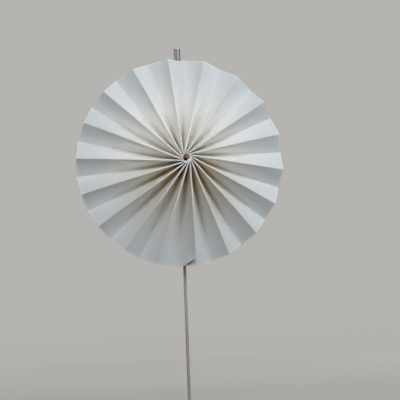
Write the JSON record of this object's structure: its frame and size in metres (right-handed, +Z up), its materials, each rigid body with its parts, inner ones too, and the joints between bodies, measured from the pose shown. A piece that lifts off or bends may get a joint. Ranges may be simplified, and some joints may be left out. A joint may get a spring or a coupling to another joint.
{
  "type": "paper christmas tree topper",
  "caption": "Pleated paper rosette for the top of a Christmas tree, with a drinking straw glued across its back and a bamboo skewer in the straw as its stem.",
  "frame": {"origin": "centre of the skewer's square-cut lower end, where the topper is pushed or tied to the tree", "axes": "+Z up along the skewer, the rosette's front looks along -Y, +X to the right seen from the front"},
  "size_m": [0.2045, 0.0303, 0.37],
  "materials": {
    "card": "matt off-white card",
    "straw": "clear thin polypropylene, slightly cloudy",
    "bamboo": "bare bamboo, weathered greyish",
    "glue": "hot-melt glue, cloudy amber"
  },
  "bodies": {
    "root": {"rosette_strip_1": "card", "rosette_strip_2": "card", "rosette_strip_3": "card", "straw_sleeve": "straw", "bamboo_skewer": "bamboo", "hub_glue": "glue", "sleeve_glue": "glue"}
  },
  "joints": []
}
